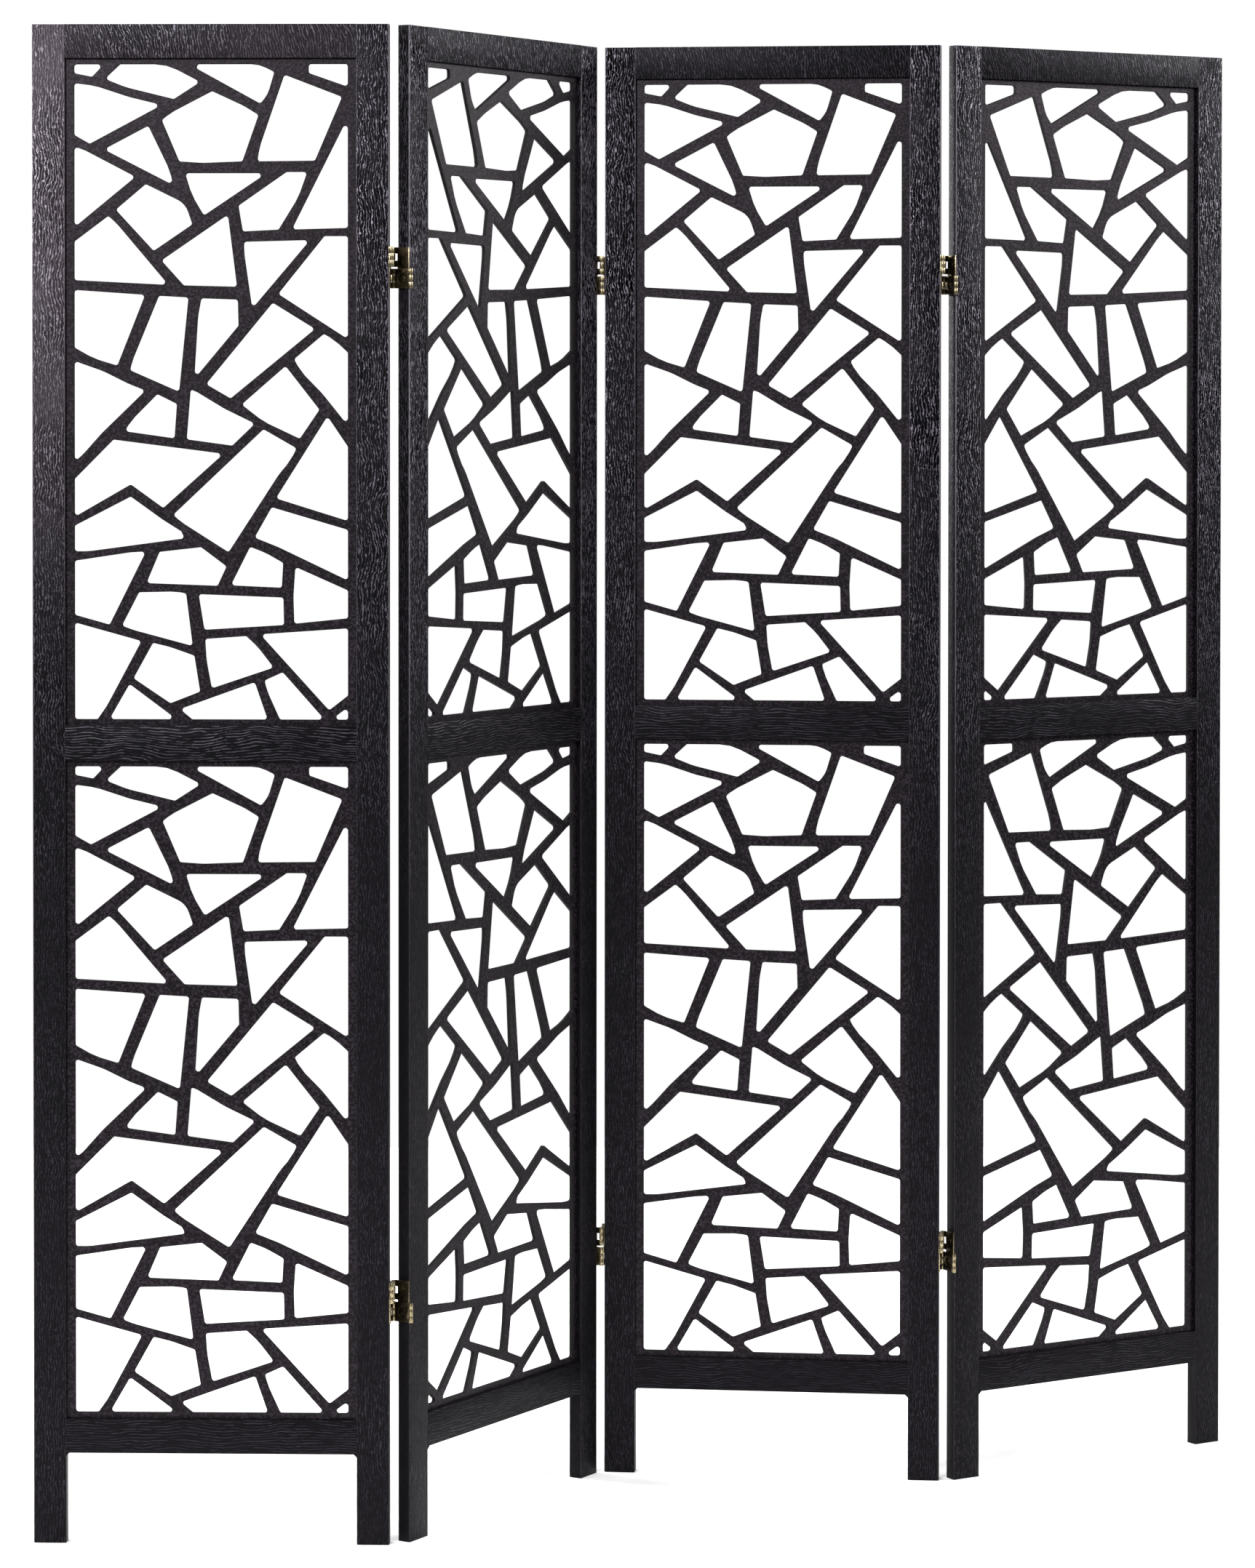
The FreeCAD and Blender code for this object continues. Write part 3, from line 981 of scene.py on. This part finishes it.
@dataclass
class ScreenHinge:
    """The double-action hinge: two leaves, two links between them, pins and screws.

    Its own frame has X along the row, Y to the back and Z up, from the middle of the gap, of the
    panel's thickness and of the hinge's height.
    """

    half_gap: float
    axis_offset: float
    leaf_half_width: float
    height: float = 46.0 * MM
    leaf_thickness: float = 1.2 * MM
    link_thickness: float = 1.0 * MM
    knuckle_radius: float = 2.4 * MM
    middle_knuckle_height: float = 7.4 * MM
    knuckle_play: float = 0.25 * MM
    halves_gap: float = 2.0 * MM
    pin_radius: float = 1.1 * MM
    pin_clearance: float = 0.05 * MM
    link_edge_play: float = 0.3 * MM
    link_hole_radius: float = 5.0 * MM
    plate_easing: float = 0.2 * MM
    knuckle_easing: float = 0.35 * MM
    screw_head_radius: float = 2.9 * MM
    screw_head_rise: float = 0.45 * MM
    screw_slot_width: float = 0.75 * MM
    screw_slot_length: float = 3.6 * MM
    screw_slot_depth: float = 0.7 * MM
    # How much of a screw head's rise its rounded rim takes up
    screw_easing_share: float = 0.8
    # How squarely a plate's face looks along the row, and its thin edge doesn't
    plate_on: float = 0.7

    @property
    def half_height(self) -> float:
        """The height of one half of the hinge."""
        return (self.height - self.halves_gap) / 2

    @property
    def half_middle(self) -> float:
        """How far the middle of one half lies from the hinge's middle."""
        return (self.halves_gap + self.half_height) / 2

    @property
    def leaf_face(self) -> float:
        """How far along the row the left leaf's inner face lies."""
        return self.leaf_thickness - self.half_gap

    def on_axis(self, side: int, height: float) -> Vector:
        """Return the place at a height on the front (-1) or the back (1) barrel's axis."""
        return Vector((0.0, side * self.axis_offset, height))

    def mark_worn(self, piece: bpy.types.Object) -> None:
        """Put the rubbed finish, slot 1, on the barrels and the plates' thin edges.

        Args:
            piece: A leaf or a link, with the aged finish in slot 0.
        """
        barrel_start = self.axis_offset - self.knuckle_radius
        for face in piece.data.polygons:
            on_barrel = abs(face.center.y) > barrel_start
            on_edge = abs(face.normal.x) < self.plate_on
            face.material_index = 1 if on_barrel or on_edge else 0

    def barrel(self, side: int, sign: int) -> list[bpy.types.Object]:
        """Model the outer knuckles, webs and pin of one barrel.

        Args:
            side: -1 for the front and 1 for the back.
            sign: 1 for the upper half and -1 for the lower half.

        Returns:
            The barrel's parts.
        """
        middle = sign * self.half_middle
        reach = self.half_height / 2
        web_start = self.leaf_half_width - self.leaf_thickness
        parts = []
        for end in (-1, 1):
            inner = middle + end * (self.middle_knuckle_height / 2 + self.knuckle_play)
            low, high = sorted((inner, middle + end * reach))
            knuckle = add_rod(self.knuckle_radius, self.on_axis(side, low), self.on_axis(side, high))
            soften_edges(knuckle, self.knuckle_easing)
            web = add_block((-self.half_gap, side * web_start, low),
                            (self.leaf_face, side * self.axis_offset, high))
            soften_edges(web, self.plate_easing)
            parts += [knuckle, web]
        pin_ends = (self.on_axis(side, middle - reach), self.on_axis(side, middle + reach))
        return parts + [add_rod(self.pin_radius, *pin_ends)]

    def leaf(self) -> bpy.types.Object:
        """Model the left leaf, with its barrel in front above and at the back below.

        Returns:
            The leaf.
        """
        plate = add_block((-self.half_gap, -self.leaf_half_width, -self.height / 2),
                          (self.leaf_face, self.leaf_half_width, self.height / 2))
        soften_edges(plate, self.plate_easing)
        leaf = join_pieces("leaf_pattern", [plate] + self.barrel(-1, 1) + self.barrel(1, -1))
        smooth_rounds(leaf)
        self.mark_worn(leaf)
        return leaf

    def link(self) -> bpy.types.Object:
        """Model a link around its own middle: a plate with a knuckle at each end and a hole.

        Returns:
            The link.
        """
        plate_end = self.axis_offset - self.knuckle_radius - self.link_edge_play
        tongue_end = self.axis_offset - self.pin_radius - self.link_edge_play
        half_plate = self.link_thickness / 2
        half_knuckle = self.middle_knuckle_height / 2
        plate = add_block((-half_plate, -plate_end, -self.half_height / 2),
                          (half_plate, plate_end, self.half_height / 2))
        cut_away(plate, add_rod(self.link_hole_radius, Vector((-self.height, 0, 0)),
                                Vector((self.height, 0, 0))))
        soften_edges(plate, self.plate_easing)
        parts = [plate]
        for side in (-1, 1):
            knuckle, bore = (
                add_rod(radius, self.on_axis(side, -reach), self.on_axis(side, reach))
                for radius, reach in (
                    (self.knuckle_radius, half_knuckle),
                    (self.pin_radius + self.pin_clearance, self.height),
                )
            )
            cut_away(knuckle, bore)
            soften_edges(knuckle, self.knuckle_easing)
            parts += [knuckle, add_block((-half_plate, side * plate_end, -half_knuckle),
                                         (half_plate, side * tongue_end, half_knuckle))]
        link = join_pieces("link_pattern", parts)
        smooth_rounds(link)
        self.mark_worn(link)
        return link

    def screws(self) -> bpy.types.Object:
        """Model the left leaf's two screws, one behind each half, with cross recesses.

        Returns:
            The screws as one piece.
        """
        heads = []
        top = self.leaf_face + self.screw_head_rise
        half_slot = (self.screw_slot_width / 2, self.screw_slot_length / 2)
        for sign in (-1, 1):
            middle = sign * self.half_middle
            head = add_rod(self.screw_head_radius,
                           Vector((self.leaf_face - self.leaf_thickness / 2, 0, middle)),
                           Vector((top, 0, middle)))
            soften_edges(head, self.screw_head_rise * self.screw_easing_share, segments=3)
            for across, upward in (half_slot, half_slot[::-1]):
                cut_away(head, add_block((top - self.screw_slot_depth, -across, middle - upward),
                                         (self.half_gap, across, middle + upward)))
            heads.append(head)
        screws = join_pieces("screw_pattern", heads)
        smooth_rounds(screws)
        return screws


@dataclass
class HingeRow:
    """All the hinges of the screen, set at their joints."""

    places: dict[str, PanelPlace]
    record: dict[str, Any]
    # How far the leaves' long edges stay inside the panels' faces
    leaf_inset: float = 0.5 * MM

    def node_body(self, node_name: str) -> str:
        """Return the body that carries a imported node."""
        bodies = self.record["behaviour"]["bodies"]
        return next(body for body, names in bodies.items() if node_name in names)

    def build(self) -> list[bpy.types.Object]:
        """Set the hinges of every joint.

        Returns:
            The finished pieces.
        """
        finishes = [AgedBrass().material(), RubbedBrass().material()]
        pieces = []
        for joint in self.record["behaviour"]["joints"]:
            pieces += self.build_joint(joint, finishes)
        return pieces

    def build_joint(self, joint: dict[str, Any],
                    finishes: list[bpy.types.Material]) -> list[bpy.types.Object]:
        """Model one joint's hinge once and set a copy of each part high and low.

        Args:
            joint: The joint as the record gives it.
            finishes: The hinges' aged and rubbed finish.

        Returns:
            The finished pieces.
        """
        left, right = self.places[joint["parent"]], self.places[joint["child"]]
        axis = left.matrix.inverted() @ Vector(joint["pos_m"])
        half_gap = axis.x - left.width
        axis_offset = abs(axis.y - left.thickness / 2)
        hinge = ScreenHinge(half_gap, axis_offset, left.thickness / 2 - self.leaf_inset)
        patterns = {"leaf": hinge.leaf(), "link": hinge.link(), "screws": hinge.screws()}
        frames = {
            left.body: left.matrix @ Matrix.Translation((left.width + half_gap, left.thickness / 2, 0)),
            right.body: right.matrix @ Matrix.Translation((-half_gap, right.thickness / 2, 0)),
        }
        turns = (("left", left.body, Matrix.Identity(4)),
                 ("right", right.body, Matrix.Rotation(math.pi, 4, "Z")))
        pieces = []
        for level in ("high", "low"):
            name = f"hinge_{joint['name'][-2:]}_{level}"
            low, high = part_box(f"{name}_leaf_left")
            lift = Matrix.Translation((0, 0, (low.z + high.z) / 2))
            for side, body, turn in turns:
                place = frames[body] @ lift @ turn
                leaf = set_copy(patterns["leaf"], f"{name}_{side}_leaf", place)
                pieces.append(self.dress(leaf, finishes, body, f"{name}_leaf_{side}"))
                screws = set_copy(patterns["screws"], f"{name}_{side}_screws", place)
                pieces.append(self.dress(screws, finishes[:1], body, None))
            for half, sign in (("upper", 1), ("lower", -1)):
                node_name = f"{name}_link_{half}"
                body = self.node_body(node_name)
                half_lift = Matrix.Translation((0, 0, sign * hinge.half_middle))
                place = frames[body] @ lift @ half_lift
                link = set_copy(patterns["link"], f"{name}_{half}_link", place)
                pieces.append(self.dress(link, finishes, body, node_name))
        for pattern in patterns.values():
            bpy.data.objects.remove(pattern, do_unlink=True)
        return pieces

    @staticmethod
    def dress(piece: bpy.types.Object, finishes: list[bpy.types.Material], body: str,
              node_name: str | None) -> bpy.types.Object:
        """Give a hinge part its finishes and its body.

        Args:
            piece: The part, whose faces carry the finishes' numbers.
            finishes: Its finishes.
            body: The body that carries it.
            node_name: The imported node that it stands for, if any.

        Returns:
            The part.
        """
        for finish in finishes:
            piece.data.materials.append(finish)
        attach(piece, body)
        if node_name:
            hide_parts(node_name)
        return piece


@dataclass
class Studio:
    """A white cove behind a dim room, soft light from above and the photograph's viewpoint."""

    photo_height: float = 2156.0
    focal_length_pixels: float = 6435.3
    # The photograph's row that the lens axis meets, well above its middle
    axis_row: float = 653.2
    camera_place: Triple = (-0.0729, -5.4787, 1.2889)
    camera_tilt: float = math.radians(1.0)
    camera_turn: float = math.radians(-0.431)
    camera_roll: float = math.radians(-0.036)
    sensor: float = 36.0
    view_reach: float = 100.0
    floor_size: float = 5.0
    # The room's light in front, the cove's behind the screen, and the directions between them
    room_strengths: Pair = (0.04, 0.5)
    cove_band: Pair = (-0.2, 0.5)
    overhead_strength: float = 2.3
    overhead_spread: float = math.radians(80)
    overhead_aim: Triple = (0.25, 0.35, -1.0)
    # Each softbox: its place, its side and its power in watts
    softboxes: tuple[tuple[str, Triple, float, float], ...] = (
        ("key", (-2.1, -4.7, 3.1), 0.9, 215.0),
        ("side", (-3.9, -2.0, 2.9), 0.8, 60.0),
        ("right", (4.2, -1.4, 2.8), 0.9, 85.0),
        ("rim_left", (-3.4, 1.8, 2.2), 0.9, 140.0),
        ("rim_right", (3.9, 0.6, 2.6), 0.9, 110.0),
    )

    def build(self) -> None:
        """Set up the floor, the lights and the camera."""
        bpy.context.scene.view_settings.view_transform = "Standard"
        self.build_floor()
        self.build_room()
        self.add_overhead()
        for softbox in self.softboxes:
            self.add_softbox(*softbox)
        self.build_camera()

    def build_floor(self) -> None:
        """Lay the floor."""
        deselect_all()
        bpy.ops.mesh.primitive_plane_add(size=self.floor_size)
        floor = bpy.context.object
        floor.name = "studio_floor"
        floor.data.materials.append(StudioPaper().material())
        floor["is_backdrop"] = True

    def build_room(self) -> None:
        """Light the room from a white cove behind the screen, and show white all round."""
        world = bpy.data.worlds.new("studio_room")
        world.use_nodes = True
        tree = world.node_tree
        tree.nodes.clear()
        direction = add_node(tree, "ShaderNodeSeparateXYZ", {
            "Vector": add_node(tree, "ShaderNodeTexCoord").outputs["Generated"],
        })
        cove = add_node(tree, "ShaderNodeMapRange", {
            "Value": direction.outputs["Y"],
            FROM: self.cove_band,
            TO: self.room_strengths,
        }, interpolation_type="SMOOTHSTEP")
        seen = add_node(tree, "ShaderNodeMix", {
            0: add_node(tree, "ShaderNodeLightPath").outputs["Is Camera Ray"],
            2: cove,
            3: 1.0,
        })
        white = add_node(tree, "ShaderNodeBackground", {"Color": linear("#ffffff"), "Strength": seen})
        add_node(tree, "ShaderNodeOutputWorld", {"Surface": white})
        bpy.context.scene.world = world

    def add_overhead(self) -> None:
        """Hang a very soft light high above, which keeps the floor white all over."""
        light = bpy.data.lights.new("overhead", "SUN")
        light.energy = self.overhead_strength
        light.angle = self.overhead_spread
        lamp = bpy.data.objects.new("overhead", light)
        bpy.context.collection.objects.link(lamp)
        lamp.rotation_euler = Vector(self.overhead_aim).to_track_quat("-Z", "Y").to_euler()

    def add_softbox(self, name: str, place: Triple, side: float, power: float) -> None:
        """Hang one soft light that faces the middle of the screen's top.

        Args:
            name: The light's name.
            place: Where it hangs.
            side: The side of its square.
            power: Its power in watts.
        """
        light = bpy.data.lights.new(name, "AREA")
        light.size = side
        light.energy = power
        lamp = bpy.data.objects.new(name, light)
        bpy.context.collection.objects.link(lamp)
        lamp.location = place
        aim = Vector((0.0, 0.0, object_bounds()[1].z)) - Vector(place)
        lamp.rotation_euler = aim.to_track_quat("-Z", "Y").to_euler()

    def build_camera(self) -> None:
        """Set the camera at the photograph's place, almost level, with its lens shifted down."""
        lens = bpy.data.cameras.new("viewpoint")
        lens.sensor_fit = "VERTICAL"
        lens.sensor_height = self.sensor
        lens.lens = self.focal_length_pixels * self.sensor / self.photo_height
        lens.shift_y = (self.axis_row - self.photo_height / 2) / self.photo_height
        lens.clip_end = self.view_reach
        camera = bpy.data.objects.new("viewpoint", lens)
        bpy.context.collection.objects.link(camera)
        camera.location = self.camera_place
        camera.rotation_euler = (math.radians(90) - self.camera_tilt, self.camera_roll, self.camera_turn)
        bpy.context.scene.camera = camera


def main() -> None:
    """Load the frame, build every piece around it and set up the studio."""
    logging.basicConfig(level=logging.INFO, format="%(name)s: %(message)s")
    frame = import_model()
    nodes = frame["nodes"]
    record = frame["record"]
    places = {}
    for number in range(1, len(record["behaviour"]["bodies"]) + 1):
        place = PanelPlace.read(nodes, number)
        places[place.body] = place
    board_face = LacqueredBoard().material()
    board_edge = CutEdge().material()
    pieces = []
    for place in places.values():
        pieces += PanelFrame(place, nodes).build()
        for level in ("upper", "lower"):
            fret = FretBoard(place, level, nodes[f"{place.body}_fret_{level}"])
            pieces.append(fret.build(board_face, board_edge))
    pieces += HingeRow(places, record).build()
    for piece in pieces:
        LOG.info("%s: %d faces", piece.name, len(piece.data.polygons))
    Studio().build()


if __name__ == "__main__":
    main()
